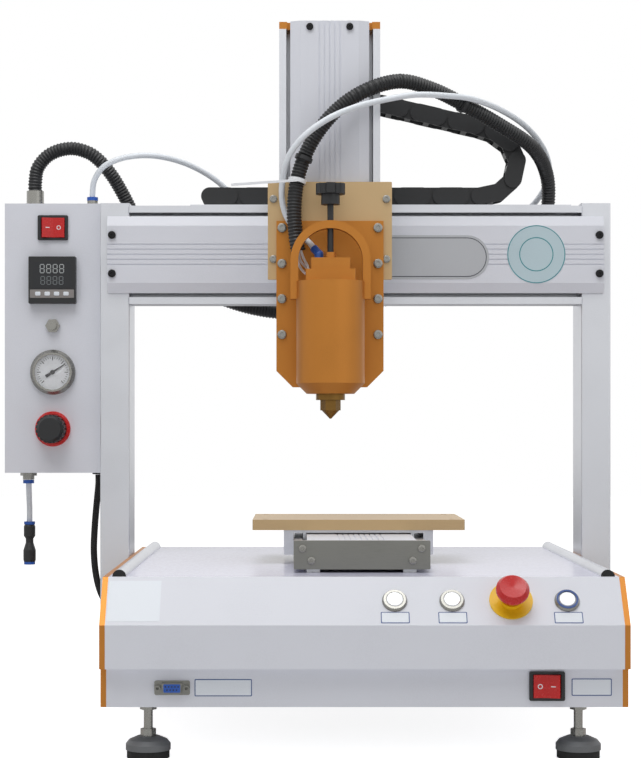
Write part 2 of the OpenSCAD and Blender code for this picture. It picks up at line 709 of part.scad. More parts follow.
// Arch over the barrel: its legs sit on the barrel's sides, and the push rod passes through its crown
module arch_clamp() color(gold) difference() {
  front_plate(head_x, barrel_y + arch_t / 2, arch_z, arch_t) union() {
    difference() {
      circle(arch_r);
      circle(arch_r - arch_bar);
      translate([-arch_r, -2 * arch_r]) square([2 * arch_r, 2 * arch_r]);
    }
    for (s = [-1, 1]) translate([s * (arch_r - arch_bar / 2) - arch_bar / 2, arch_leg_z - arch_z])
      square([arch_bar, arch_z - arch_leg_z]);
  }
  translate([head_x, barrel_y, barrel_z]) cylinder(d = barrel_d, h = barrel_h);
  translate([head_x, barrel_y, arch_z]) cylinder(d = rod_d + 2 * bore_gap, h = 2 * arch_r);
}
module nozzle() color("darkgoldenrod") translate([head_x, barrel_y, tip_z]) {
  translate([0, 0, nozzle_h - 6]) cylinder(d = 28, h = 6);
  translate([0, 0, 8]) hex(17, nozzle_h - 14);
  cylinder(d1 = 1.5, d2 = 17, h = 8);
}
// Push-in fitting that brings air into the barrel's cap
module barrel_fitting() color("royalblue") translate(fitting_foot) {
  cylinder(d = 9, h = fitting_foot_h);
  translate([0, 0, fitting_foot_h]) sphere(d = 9);
  translate([0, 0, fitting_foot_h])
    rotate([0, acos(fitting_dir[2]), atan2(fitting_dir[1], fitting_dir[0])])
      cylinder(d = 8, h = fitting_collar_l);
}
// Star knob on the push rod: it screws the rod down on the glue cartridge
module star_knob() translate([head_x, barrel_y, 0]) {
  color("silver") translate([0, 0, rod_bottom]) cylinder(d = rod_d, h = knob_z - rod_bottom);
  color("black") translate([0, 0, knob_z]) {
    cylinder(d = knob_hub_d, h = knob_h - 9);
    translate([0, 0, knob_h - 10]) linear_extrude(10) difference() {
      circle(d = knob_d);
      for (i = [0:5]) rotate(60 * i) translate([knob_d / 2 + 1.5, 0]) circle(r = 4);
    }
  }
}

// Control box

module control_box() color("white") difference() {
  translate([box_left, box_front, box_z]) cube([box_w, box_d, box_h]);
  translate([box_left + box_wall, box_front + box_wall, box_z + box_wall])
    cube([box_w - 2 * box_wall, box_d - 2 * box_wall, box_h - 2 * box_wall]);
  translate([box_mid, box_front, box_switch_z]) cube([rocker_w + 3, 4, rocker_h + 2], center = true);
  translate([box_mid, box_front, controller_z]) cube([controller_w - 3, 4, controller_w - 3], center = true);
  for (c = [[bleed_z, 8], [gauge_z, gauge_d - 6], [regulator_z, regulator_d - 8]])
    translate([box_mid, box_front - 1, c[0]]) rotate([-90, 0, 0]) cylinder(d = c[1], h = 4);
  for (g = [[conduit_gland, box_top], [tube_gland, box_top], [inlet_gland, box_z], [cable_gland, box_z]])
    translate([g[0][0], g[0][1], g[1] - 3]) cylinder(d = 8, h = 6);
}
module temperature_controller() color("black") {
  front_plate(box_mid, box_front, controller_z, 9) round_rect(controller_w, controller_w, 1);
  front_plate(box_mid, box_front + 70, controller_z, 70) square(controller_w - 4, center = true);
}
// Gauge case with an open dial, its stem inside the box
module pressure_gauge() color("silver") translate([box_mid, box_front, gauge_z]) rotate([90, 0, 0])
difference() {
  union() {
    rotate_extrude() polygon([
      [0, 0], [gauge_d / 2, 0], [gauge_d / 2, 4], [gauge_d / 2 - 3, 8], [gauge_d / 2 - 5, 8], [0, 8]
    ]);
    translate([0, 0, -22]) cylinder(d = gauge_d - 7, h = 22.5);
  }
  translate([0, 0, 4]) cylinder(d = gauge_d - 10, h = 5);
}
gauge_pin = [box_mid, box_front - 4, gauge_z];
needle_turn = 33;
module gauge_needle() color("black") translate(gauge_pin) rotate([90, 0, 0]) translate([0, 0, 0.3]) {
  cylinder(d = 4.5, h = 1.6);
  rotate(needle_turn) linear_extrude(1)
    polygon([[-8, -1.6], [-8, 1.6], [0, 1], [15, 0.3], [15, -0.3], [0, -1]]);
}
module regulator_body() color("red") translate([box_mid, box_front, regulator_z]) rotate([90, 0, 0])
difference() {
  union() {
    rotate_extrude() polygon([
      [0, 0], [regulator_d / 2, 0], [regulator_d / 2, 4], [regulator_d / 2 - 2, 6], [0, 6]
    ]);
    translate([0, 0, -30]) cylinder(d = regulator_d - 9, h = 31);
  }
  translate([0, 0, 2]) cylinder(d = regulator_knob_d + 2 * bore_gap, h = 5);
}
module regulator_knob() color("black") translate([box_mid, box_front - 2.3, regulator_z])
rotate([90, 0, 0]) {
  linear_extrude(regulator_knob_l - 3) difference() {
    circle(d = regulator_knob_d);
    for (i = [0:17]) rotate(20 * i) translate([regulator_knob_d / 2, 0]) circle(d = 2, $fn = 16);
  }
  translate([0, 0, regulator_knob_l - 3])
    cylinder(d1 = regulator_knob_d - 2, d2 = regulator_knob_d - 7, h = 3);
}
// Metal fittings: conduit gland and push-in above, bleed screw in front, air inlet below
module box_fittings() color("silver") {
  translate([conduit_gland[0], conduit_gland[1], box_top]) {
    hex(20, 5);
    cylinder(d = conduit_d + 3, h = 18);
  }
  translate([tube_gland[0], tube_gland[1], box_top]) {
    hex(12, 4);
    cylinder(d = 11, h = 8);
  }
  translate([inlet_gland[0], inlet_gland[1], box_z - inlet_fitting_l]) {
    translate([0, 0, inlet_fitting_l - 4]) hex(15, 4);
    cylinder(d = 12, h = inlet_fitting_l);
  }
  translate([box_mid, box_front, bleed_z]) rotate([90, 0, 0]) {
    hex(13, 5);
    cylinder(d = 9, h = 8);
  }
}
// Cable grommets in the box and in the base's side, and the plugs of the deck trunking
module rubber_grommets() color("black") {
  translate([cable_gland[0], cable_gland[1], box_z - 3]) cylinder(d = cable_d + 6, h = 3);
  translate(side_grommet) rotate([0, 90, 0])
    cylinder(d = cable_d + 4, h = side_t + 3);
  for (s = [-1, 1]) translate([s * trunking_x, deck_front + 3, deck_z]) rotate([90, 0, 0])
    linear_extrude(3) trunking_section();
}

// Switches, buttons and port

// Rocker switch frame, centred on its window, with its front towards -Y
module switch_frame() rotate([90, 0, 0]) {
  linear_extrude(switch_bezel) difference() {
    round_rect(switch_w, switch_h, 1.5);
    square([rocker_w + 2 * button_gap, rocker_h + 2 * button_gap], center = true);
  }
  translate([0, 0, -18]) linear_extrude(18) difference() {
    square([rocker_w + 2.5, rocker_h + 1.5], center = true);
    square([rocker_w + 2 * button_gap, rocker_h + 2 * button_gap], center = true);
  }
}
module switch_frames() color("black") {
  translate([box_mid, box_front, box_switch_z]) switch_frame();
  translate([power_switch_x, band_step, power_switch_z]) switch_frame();
}
// Rocker with a shallow V face on a pin at the panel's plane, tipped to one side
module rocker(tilt) color("red") {
  rotate([0, 0, tilt]) translate([0, 0, -rocker_h / 2]) linear_extrude(rocker_h) polygon([
    [-rocker_w / 2, 0], [-rocker_w / 2 + rocker_ease, -6], [0, -3.6], [rocker_w / 2 - rocker_ease, -6],
    [rocker_w / 2, 0], [4, 5], [-4, 5]
  ]);
  cylinder(d = 3, h = rocker_h + 2 * button_gap, center = true);
}
module box_rocker() translate([box_mid, box_front, box_switch_z]) rocker(rocker_tilt);
module power_rocker() translate([power_switch_x, band_step, power_switch_z]) rocker(-rocker_tilt);

module serial_port() color("gray") translate([serial_x, band_step, serial_z]) {
  front_plate(0, 0, 0, 1) round_rect(31, 12.5, 1.5);
  front_plate(0, 1, 0, 6) polygon([[-9, 4.4], [9, 4.4], [7.6, -4.4], [-7.6, -4.4]]);
  for (s = [-1, 1]) translate([s * 12.5, -1, 0]) rotate([90, 0, 0]) difference() {
    hex(5, 4);
    translate([0, 0, -0.5]) cylinder(d = 2.6, h = 5);
  }
}

module button_bezels() color("silver") for (x = button_xs) on_slope(x) difference() {
  union() {
    rotate_extrude() polygon([
      [0, 0], [button_d / 2, 0], [button_d / 2, 1], [button_d / 2 - 1.2, bezel_h], [0, bezel_h]
    ]);
    translate([0, 0, -button_body_l]) cylinder(d = button_body_d - 1, h = button_body_l);
  }
  translate([0, 0, -button_travel - 3]) cylinder(d = button_face_d + 2 * bore_gap, h = 20);
}
module push_button(x) color("whitesmoke") on_slope(x) translate([0, 0, -2.5]) rotate_extrude() polygon([
  [0, 0], [button_face_d / 2, 0], [button_face_d / 2, bezel_h + 2.2],
  [button_face_d / 2 - 0.8, bezel_h + 3], [0, bezel_h + 3]
]);
module manual_button() push_button(button_xs[0]);
module reset_button() push_button(button_xs[1]);
module start_button() push_button(button_xs[2]);

// Emergency stop: a yellow plate and collar, and a mushroom cap on a stem
module estop_collar() color("gold") on_slope(estop_x) difference() {
  union() {
    cylinder(d = estop_collar_d, h = 1.5);
    cylinder(d = estop_stem_d, h = estop_collar_h);
    translate([0, 0, -25]) cylinder(d = estop_stem_d - 1, h = 26);
  }
  translate([0, 0, -estop_travel - 5]) cylinder(d = 12 + 2 * bore_gap, h = 60);
}
module estop_cap() color("crimson") on_slope(estop_x) {
  translate([0, 0, -3]) cylinder(d = 12, h = estop_collar_h + estop_travel + 4);
  translate([0, 0, estop_collar_h + estop_travel]) rotate_extrude() polygon([
    [0, 0], [estop_d / 2 - 3, 0], [estop_d / 2, 6], [estop_d / 2, estop_cap_h - 4],
    [estop_d / 2 - 3, estop_cap_h], [0, estop_cap_h - 1.5]
  ]);
}

// Hoses and cables

module conduit() color("black") swept_tube(conduit_route, conduit_d, 10, 2);
module air_tube() color("white") swept_tube(tube_route, tube_d, 8, 2);
module box_cable() color("black") swept_tube(cable_route, cable_d, 8, 2);
module inlet_tube() color("white") swept_tube(inlet_route, tube_d, 8, 2);
// Straight union on the end of the air inlet
union_h = 39;
module inlet_union() color("black") translate(inlet_route[3] - [0, 0, union_h])
  rotate_extrude() polygon([
    [0, 0], [6, 0], [6.5, 2], [6.5, 12], [4, 20], [4, 24], [6, 27], [6, 37], [5, union_h], [0, union_h]
  ]);

module placed() translate([-origin_x, -origin_y, 0]) children();

placed() base_front_panel();
placed() base_side_plates();
placed() base_deck();
placed() base_tray();
placed() deck_trunking();
placed() foot_pads();
placed() foot_cups();
placed() foot_studs();
placed() electronics();
placed() stepper_motors();
placed() axis_guides();
placed() y_module_body();
placed() y_module_cover();
placed() y_end_plates();
placed() y_carriage();
placed() y_platform();
placed() gantry_posts();
placed() x_beam_body();
placed() x_beam_cover();
placed() chain_tray();
placed() cable_chain();
placed() x_slider();
placed() z_column_body();
placed() z_column_cover();
placed() z_end_blocks();
placed() z_guides();
placed() z_motor();
placed() chain_bracket();
placed() z_slider();
placed() z_plate();
placed() heater_plate();
placed() heater_barrel();
placed() barrel_cap();
placed() arch_clamp();
placed() nozzle();
placed() barrel_fitting();
placed() star_knob();
placed() control_box();
placed() temperature_controller();
placed() pressure_gauge();
placed() gauge_needle();
placed() regulator_body();
placed() regulator_knob();
placed() box_fittings();
placed() rubber_grommets();
placed() switch_frames();
placed() box_rocker();
placed() power_rocker();
placed() serial_port();
placed() button_bezels();
placed() manual_button();
placed() reset_button();
placed() start_button();
placed() estop_collar();
placed() estop_cap();
placed() conduit();
placed() air_tube();
placed() box_cable();
placed() inlet_tube();
placed() inlet_union();
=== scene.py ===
"""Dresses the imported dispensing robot: finishes, hoses, cable chain, screws, labels and studio."""
import math

import bmesh
import bpy
from bpy.props import FloatProperty, FloatVectorProperty, PointerProperty
from mathutils import Matrix, Vector


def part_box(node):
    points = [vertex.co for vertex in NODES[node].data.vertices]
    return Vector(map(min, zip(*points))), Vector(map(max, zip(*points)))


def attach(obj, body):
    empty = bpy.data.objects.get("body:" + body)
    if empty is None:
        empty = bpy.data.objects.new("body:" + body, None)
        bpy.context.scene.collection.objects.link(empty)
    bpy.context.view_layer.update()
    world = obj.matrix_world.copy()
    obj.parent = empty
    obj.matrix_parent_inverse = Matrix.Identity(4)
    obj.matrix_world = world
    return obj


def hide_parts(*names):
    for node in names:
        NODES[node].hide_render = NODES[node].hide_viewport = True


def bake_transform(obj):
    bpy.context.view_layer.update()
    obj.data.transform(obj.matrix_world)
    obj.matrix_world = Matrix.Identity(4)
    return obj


bl_info = {
    "name": "Dispensing Robot Dressing",
    "version": (1, 0, 0),
    "blender": (4, 5, 0),
    "location": "View3D > Sidebar > Robot",
    "description": "Finishes and trim for a desktop dispensing robot",
    "category": "Object",
}

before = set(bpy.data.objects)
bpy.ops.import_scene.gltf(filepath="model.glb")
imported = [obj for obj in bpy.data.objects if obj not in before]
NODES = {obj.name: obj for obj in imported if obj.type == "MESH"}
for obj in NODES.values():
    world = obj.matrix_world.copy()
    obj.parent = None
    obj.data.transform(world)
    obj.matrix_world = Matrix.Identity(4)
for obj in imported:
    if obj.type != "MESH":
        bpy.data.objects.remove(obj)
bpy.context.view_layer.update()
MM = 0.001

# The machine's own datum: middle of the base, its front face, and the table
SIDE_LOW, SIDE_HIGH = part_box("base_side_plates")
DATUM = Vector(((SIDE_LOW[0] + SIDE_HIGH[0]) / 2, SIDE_LOW[1], 0.0))

HEAD_X = -27.0
BARREL_Y = 186.0
PLATE_FACE_Y = 225.0
HEATER_FACE_Y = 219.0
BEAM_FACE_Y = 283.0
BEAM_Z = 468.0
COLUMN_FACE_Y = 232.0
BOX_FACE_Y = 305.0
BOX_X = -309.5
SLOPE_D, SLOPE_H, DECK_Z = 31.0, 39.5, 161.0
SLOPE_TILT = math.atan2(SLOPE_H, SLOPE_D)
BAND_Y = 12.0
BUTTON_XS = (26.5, 76.5, 177)
PORT_X, PORT_Z = -167.5, 66
POWER_X, POWER_Z = 159, 67.5
BOX_SWITCH_Z, GAUGE_Z = 497, 349
ROCKER_TILT = 8
INLET_END_Z = 191
UNION_L = 39.0

# Hose routes, as in the part's source, in millimetres from the datum
CONDUIT_ROUTE = [
    (-334, 350, 540.4), (-334, 350, 549), (-331, 350, 565), (-318, 350, 579), (-297, 351, 585),
    (-275, 354, 579), (-257, 361, 561), (-243, 367, 538), (-230, 370, 512), (-214, 371, 488),
    (-192, 371, 463), (-162, 370, 440), (-126, 369, 424), (-85, 369, 415), (-40, 369, 415),
    (5, 369, 421), (50, 369, 432), (100, 369, 443), (145, 369, 453), (180, 369, 470),
    (199, 368, 495), (205, 364, 524), (202, 347, 556), (183, 312, 580), (145, 285, 600),
    (107, 264, 617), (75, 247, 629), (42, 231, 634), (7, 217, 622), (-22, 212, 601),
    (-45, 210, 571), (-58, 208, 538), (-62, 203.5, 505), (-60.5, 200.6, 479), (-58, 200.4, 464),
]
CONDUIT_SPLITS = (21, 27)
TUBE_ROUTE = [
    (-274, 350, 530.4), (-274, 350, 538), (-271.5, 347, 552), (-260, 342, 566), (-238, 344, 575),
    (-210, 355, 578), (-180, 371, 573), (-152, 383, 560), (-130, 388, 542), (-112, 390, 521),
    (-88, 391, 502), (-50, 391, 489), (0, 391, 484), (60, 391, 486), (118, 391, 496),
    (165, 390, 511), (194, 387, 532), (207, 372, 558), (200, 345, 580), (178, 312, 600),
    (148, 284, 614), (116, 258, 621), (86, 238, 621), (56, 222, 619), (27, 208, 612),
    (0, 199, 604), (-28, 196, 592), (-52, 196, 575), (-67, 200, 556), (-73, 208, 536),
    (-74, 214, 516), (-70, 215.5, 500), (-62, 215, 487), (-53.5, 210, 478),
    (-47.37, 201.67, 471.94), (-43.18, 198.24, 466.6),
]
TUBE_SPLITS = (16, 23)
CABLE_ROUTE = [
    (-270, 372, 242.6), (-270, 372, 232), (-272, 372, 212), (-274, 372, 188), (-275, 372, 162),
    (-273, 372, 138), (-268, 372, 118), (-259, 372, 102), (-250, 372, 93), (-242, 372, 90.2),
    (-233.4, 372, 90),
]
INLET_ROUTE = [(-341, 350, 237.6), (-340.5, 350, 222), (-340, 350, 208), (-340, 350, 191)]
LEAD_ROUTES = [
    [(-60, 200.4, 466), (-59, 201, 455), (-55, 200, 446), (-49.5, 195, 440), (-48.4, 188, 437.5)],
    [(-58, 200.4, 466), (-56, 203, 455), (-50, 203.5, 448), (-43, 203, 443), (-36, 201.5, 439)],
    [(-56, 200.4, 466), (-53, 200.5, 457), (-49, 197, 449), (-48.2, 190, 445), (-48.4, 182, 442)],
]


def at(x, y, z):
    """A point given in millimetres from the machine's datum, in the row frame."""
    return DATUM + Vector((x, y, z)) * MM


def linear(hex_colour):
    """An sRGB hex colour as linear red, green, blue and alpha."""
    values = [int(hex_colour[i:i + 2], 16) / 255 for i in (0, 2, 4)]
    return [v / 12.92 if v <= 0.04045 else ((v + 0.055) / 1.055) ** 2.4 for v in values] + [1.0]


class RobotSizes(bpy.types.PropertyGroup):
    """Sizes of the pieces that dress the machine."""
    conduit: FloatProperty(name="Conduit", description="Outer diameter of the corrugated conduit",
                           default=15 * MM, unit="LENGTH")
    rib_pitch: FloatProperty(name="Rib pitch", description="Spacing of the conduit's ribs",
                             default=3.2 * MM, unit="LENGTH")
    tube: FloatProperty(name="Air tube", description="Outer diameter of the air tube",
                        default=6 * MM, unit="LENGTH")
    cable: FloatProperty(name="Box cable", description="Outer diameter of the box's cable",
                         default=7 * MM, unit="LENGTH")
    lead: FloatProperty(name="Heater lead", description="Diameter of a heater lead",
                        default=2.6 * MM, unit="LENGTH")
    plate_screw: FloatProperty(name="Plate screw", description="Head diameter of the head's screws",
                               default=9 * MM, unit="LENGTH")
    label_edge: FloatProperty(name="Label edge", description="Width of a label's printed border",
                              default=0.8 * MM, unit="LENGTH")


class RobotColours(bpy.types.PropertyGroup):
    """Colours that an owner might change."""
    coat: FloatVectorProperty(name="Coat", description="Powder coat of the base and covers",
                              size=4, subtype="COLOR", default=linear("E2E4EC"))
    gold: FloatVectorProperty(name="Gold", description="Anodising of the head and side plates",
                              size=4, subtype="COLOR", default=linear("B9782F"))
    tan: FloatVectorProperty(name="Tan", description="Anodising of the Z plate and platform",
                             size=4, subtype="COLOR", default=linear("C2A67C"))
    disc: FloatVectorProperty(name="Disc", description="Colour of the round sticker",
                              size=4, subtype="COLOR", default=linear("2F8C96"))


def add(tree, kind, inputs=None, **settings):
    """Adds a node with its settings, and sets or links its inputs."""
    made = tree.nodes.new(kind)
    for name, value in settings.items():
        setattr(made, name, value)
    for socket, value in (inputs or {}).items():
        if isinstance(value, tuple) and isinstance(value[0], bpy.types.Node):
            tree.links.new(value[0].outputs[value[1]], made.inputs[socket])
        else:
            made.inputs[socket].default_value = value
    return made


def shaded(colour, amount):
    """A colour made darker or lighter by a factor."""
    return [min(1.0, c * amount) for c in colour[:3]] + [1.0]


def finish(name, colour, metallic, rough, grain_mm, depth_mm, spread=0.08, stretch=(1, 1, 1), **sockets):
    """One surface finish: grain of a real size gives colour spread, roughness spread and bump."""
    material = bpy.data.materials.new(name)
    material.use_nodes = True
    tree = material.node_tree
    tree.nodes.clear()
    place = add(tree, "ShaderNodeTexCoord")
    scaled = add(tree, "ShaderNodeMapping", {"Vector": (place, "Object"), "Scale": stretch})
    grain = add(tree, "ShaderNodeTexNoise", {"Vector": (scaled, "Vector"), "Scale": 1 / (grain_mm * MM),
                                             "Detail": 4.0, "Roughness": 0.6})
    clouds = add(tree, "ShaderNodeTexNoise", {"Vector": (place, "Object"), "Scale": 1 / (60 * MM),
                                              "Detail": 2.0})
    both = add(tree, "ShaderNodeMath", {0: (grain, "Fac"), 1: (clouds, "Fac")}, operation="ADD")
    tone = add(tree, "ShaderNodeValToRGB", {"Fac": (both, "Value")})
    tone.color_ramp.elements[0].position = 0.6
    tone.color_ramp.elements[0].color = shaded(colour, 1 - spread)
    tone.color_ramp.elements[1].position = 1.0
    tone.color_ramp.elements[1].color = shaded(colour, 1 + spread)
    gloss = add(tree, "ShaderNodeMapRange", {"Value": (grain, "Fac"), "From Min": 0.3, "From Max": 0.7,
                                             "To Min": rough * 0.85, "To Max": min(1.0, rough * 1.15)})
    bump = add(tree, "ShaderNodeBump", {"Height": (grain, "Fac"), "Strength": 0.35,
                                        "Distance": depth_mm * MM})
    shader = add(tree, "ShaderNodeBsdfPrincipled", {
        "Base Color": (tone, "Color"), "Roughness": (gloss, "Result"), "Normal": (bump, "Normal"),
        "Metallic": metallic, **sockets})
    add(tree, "ShaderNodeOutputMaterial", {"Surface": (shader, "BSDF")})
    return material


FINISHES = {}


def make_finishes(colours):
    """Every finish, named for what the real surface is; the black ink also stands as painted shade in the
    port's socket holes.
    """
    coat, gold, tan = list(colours.coat), list(colours.gold), list(colours.tan)
    table = {
        # Powder coat: orange peel about a millimetre across softens the highlights
        "powder_coat": (coat, 0.0, 0.42, 1.2, 0.03, 0.02),
        # Glossy laminate deck, slightly lavender
        "deck_laminate": (linear("CFCFE2"), 0.0, 0.22, 3.0, 0.01, 0.02),
        # Clear anodised extrusion: faint die lines give a soft sheen
        "clear_anodised": (linear("CFD1D6"), 0.85, 0.36, 0.8, 0.01, 0.05),
        # Gold anodised plate: bead blasted, so the sheen is broad
        "gold_anodised": (gold, 0.6, 0.42, 0.6, 0.015, 0.07),
        # Pale tan anodised plate
        "tan_anodised": (tan, 0.55, 0.42, 0.6, 0.015, 0.05),
        # Brushed steel plate: streaks along X
        "brushed_steel": (linear("7E7E79"), 0.9, 0.38, 0.5, 0.02, 0.1),
        # Zinc plated steel: bright with a little mottling
        "zinc_steel": (linear("92918C"), 0.95, 0.28, 2.0, 0.008, 0.06),
        # Satin steel button faces
        "satin_steel": (linear("D6D8DA"), 0.5, 0.34, 1.0, 0.008, 0.04),
        # Black oxide steel screws
        "black_oxide": (linear("1B1B1D"), 0.6, 0.4, 0.8, 0.01, 0.1),
        # Turned brass
        "turned_brass": (linear("7A5B2C"), 0.9, 0.34, 0.8, 0.01, 0.08),
        # Moulded black plastic, lightly spark-eroded
        "black_moulding": (linear("17181A"), 0.0, 0.45, 0.7, 0.02, 0.12),
        # Black rubber
        "black_rubber": (linear("141414"), 0.0, 0.75, 1.0, 0.03, 0.12),
        # Grey die-cast foot
        "grey_casting": (linear("6E7072"), 0.35, 0.5, 1.5, 0.04, 0.1),
        # Red moulded plastic, glossy
        "red_moulding": (linear("C41414"), 0.0, 0.26, 2.5, 0.006, 0.05),
        "yellow_moulding": (linear("F0C21C"), 0.0, 0.32, 2.5, 0.006, 0.04),
        "blue_moulding": (linear("2358B4"), 0.0, 0.3, 2.5, 0.006, 0.05),
        "white_moulding": (linear("EEF0F4"), 0.0, 0.3, 2.5, 0.006, 0.02),
        # Polyurethane air tube: milky and soft-edged
        "polyurethane": (linear("E9EEF4"), 0.0, 0.3, 3.0, 0.005, 0.02),
        # Printed films
        "label_film": (linear("E8EDF4"), 0.0, 0.35, 1.5, 0.005, 0.02),
        "label_ink": (linear("2A4A86"), 0.0, 0.45, 1.0, 0.004, 0.05),
        # Black ink of the print and the controller's window; on the port's socket holes the same black is
        # painted shade
        "black_ink_and_painted_shade": (linear("15171B"), 0.0, 0.5, 1.0, 0.004, 0.05),
        "disc_ink": (list(colours.disc), 0.0, 0.45, 1.0, 0.004, 0.05),
        "disc_film": (linear("BFD3DA"), 0.0, 0.35, 1.2, 0.005, 0.03),
        # Satin aluminium foil of the badge plate, and its grey edge
        "badge_foil": (linear("B4B6BA"), 0.35, 0.42, 1.0, 0.006, 0.03),
        "badge_ink": (linear("4A4D54"), 0.0, 0.45, 1.0, 0.004, 0.05),
        # Unlit display segments
        "grey_segments": (linear("A9ADAE"), 0.0, 0.5, 1.0, 0.004, 0.04),
        "dim_segments": (linear("6F7476"), 0.0, 0.5, 1.0, 0.004, 0.04),
        "key_film": (linear("8A8583"), 0.0, 0.45, 1.0, 0.005, 0.04),
        "circuit_board": (linear("14522F"), 0.0, 0.5, 2.0, 0.02, 0.1),
    }
    for name, row in table.items():
        FINISHES[name] = finish(name, *row, stretch=(0.05, 1, 1) if name == "brushed_steel" else (1, 1, 1))
    FINISHES["gauge_glass"] = finish("gauge_glass", linear("FFFFFF"), 0.0, 0.05, 4.0, 0.001, 0.0, **{
        "Transmission Weight": 1.0, "IOR": 1.49})


CAD_FINISH = {
    "powder_coat": "base_front_panel base_tray x_beam_cover z_column_cover control_box y_module_cover",
    "deck_laminate": "base_deck",
    "clear_anodised": "deck_trunking y_module_body y_carriage gantry_posts x_beam_body chain_tray x_slider "
                      "z_column_body chain_bracket z_slider",
    "gold_anodised": "base_side_plates z_end_blocks heater_plate heater_barrel barrel_cap arch_clamp",
    "tan_anodised": "z_plate y_platform",
    "brushed_steel": "y_end_plates serial_port axis_guides z_guides",
    "zinc_steel": "pressure_gauge box_fittings button_bezels foot_studs",
    "grey_casting": "foot_cups",
    "turned_brass": "nozzle",
    "black_moulding": "stepper_motors z_motor star_knob temperature_controller regulator_knob switch_frames "
                      "inlet_union gauge_needle",
    "black_rubber": "foot_pads rubber_grommets",
    "red_moulding": "box_rocker power_rocker regulator_body estop_cap",
    "yellow_moulding": "estop_collar",
    "blue_moulding": "barrel_fitting",
    "satin_steel": "manual_button reset_button start_button",
    "circuit_board": "electronics",
}


def piece(name, bm, finish_name, body, smooth=35):
    """Turns a bmesh in row-frame metres into a finished piece that rides on a body."""
    bmesh.ops.remove_doubles(bm, verts=bm.verts, dist=1e-7)
    bmesh.ops.recalc_face_normals(bm, faces=bm.faces)
    for face in bm.faces:
        face.smooth = True
    for edge in bm.edges:
        edge.smooth = len(edge.link_faces) == 2 and edge.calc_face_angle(0) < math.radians(smooth)
    mesh = bpy.data.meshes.new(name)
    bm.to_mesh(mesh)
    bm.free()
    mesh.materials.append(FINISHES[finish_name])
    made = bpy.data.objects.new(name, mesh)
    bpy.context.scene.collection.objects.link(made)
    if body:
        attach(made, body)
    return made


FRONT = Matrix.Rotation(math.radians(90), 4, "X")
SLOPE = Matrix.Rotation(SLOPE_TILT, 4, "X")


def slope_place(x, along=0.0, lift=0.0):
    """Places local XY on the sloped panel; along runs up the slope and lift leaves it."""
    middle = Matrix.Translation(at(x, SLOPE_D / 2, DECK_Z - SLOPE_H / 2))
    return middle @ SLOPE @ Matrix.Translation((0, along * MM, lift * MM))


def front_place(x, y, z):
    """Places local XY on a face that looks towards the operator, with local Z out of it."""
    return Matrix.Translation(at(x, y, z)) @ FRONT


def cylinder(bm, place, radius, height, top=None, sides=32, edge=0.0):
    """A cylinder or cone from local Z 0 upwards, with an optional rounded top edge, in millimetres."""
    made = bmesh.ops.create_cone(bm, cap_ends=True, segments=sides, radius1=radius * MM,
                                 radius2=(radius if top is None else top) * MM, depth=height * MM,
                                 matrix=place @ Matrix.Translation((0, 0, height * MM / 2)))
    if edge:
        normal = (place.to_3x3() @ Vector((0, 0, 1))).normalized()
        caps = [f for v in made["verts"] for f in v.link_faces
                if len(f.verts) == sides and f.normal.dot(normal) > 0.9]
        rim = list({e for f in caps for e in f.edges})
        bmesh.ops.bevel(bm, geom=rim, offset=edge * MM, affect="EDGES", segments=2, profile=0.5, material=-1)


def slab(bm, place, width, height, thick, radius=0.0, edge=0.0):
    """A plate on local XY with rounded corners, from local Z 0 upwards, in millimetres."""
    made = bmesh.ops.create_cube(bm, size=1.0)["verts"]
    size = Matrix.Diagonal((width * MM, height * MM, thick * MM, 1))
    bmesh.ops.transform(bm, matrix=Matrix.Translation((0, 0, thick * MM / 2)) @ size, verts=made)
    if radius:
        upright = [e for e in {e for v in made for e in v.link_edges}
                   if abs(e.verts[0].co.z - e.verts[1].co.z) > thick * MM * 0.9]
        made = list({v for v in made} | set(bmesh.ops.bevel(
            bm, geom=upright, offset=radius * MM, affect="EDGES", segments=8, profile=0.5,
            material=-1)["verts"]))
        made = [v for v in made if v.is_valid]
    if edge:
        top = [e for e in {e for v in made for e in v.link_edges}
               if min(v.co.z for v in e.verts) > thick * MM * 0.99]
        made = list(set(made) | set(bmesh.ops.bevel(
            bm, geom=top, offset=edge * MM, affect="EDGES", segments=2, profile=0.5, material=-1)["verts"]))
        made = [v for v in made if v.is_valid]
    bmesh.ops.transform(bm, matrix=place, verts=made)


def ring(bm, place, outer, inner, height, sides=48):
    """A flat ring from local Z 0 upwards, in millimetres."""
    corners = [(inner, 0), (outer, 0), (outer, height), (inner, height)]
    loop = [bm.verts.new(place @ Vector((r * MM, 0, h * MM))) for r, h in corners]
    edges = [bm.edges.new((loop[i], loop[(i + 1) % 4])) for i in range(4)]
    bmesh.ops.spin(bm, geom=loop + edges, cent=place.translation,
                   axis=place.to_3x3() @ Vector((0, 0, 1)), angle=math.tau, steps=sides, use_merge=True)


def socket_screw(bm, place, head, height, sides=24):
    """A socket screw's head: a drum with a rounded rim and a hexagonal recess."""
    cylinder(bm, place, head / 2, height, sides=sides, edge=0.5)
    bm.faces.ensure_lookup_table()
    normal = (place.to_3x3() @ Vector((0, 0, 1))).normalized()
    middle = place @ Vector((0, 0, height * MM))
    top = min((f for f in bm.faces if f.normal.dot(normal) > 0.95),
              key=lambda f: (f.calc_center_median() - middle).length)
    bmesh.ops.inset_region(bm, faces=[top], thickness=head * 0.2 * MM, use_even_offset=True)
    bmesh.ops.inset_region(bm, faces=[top], thickness=0.05 * MM, depth=-height * 0.5 * MM,
                           use_even_offset=True)


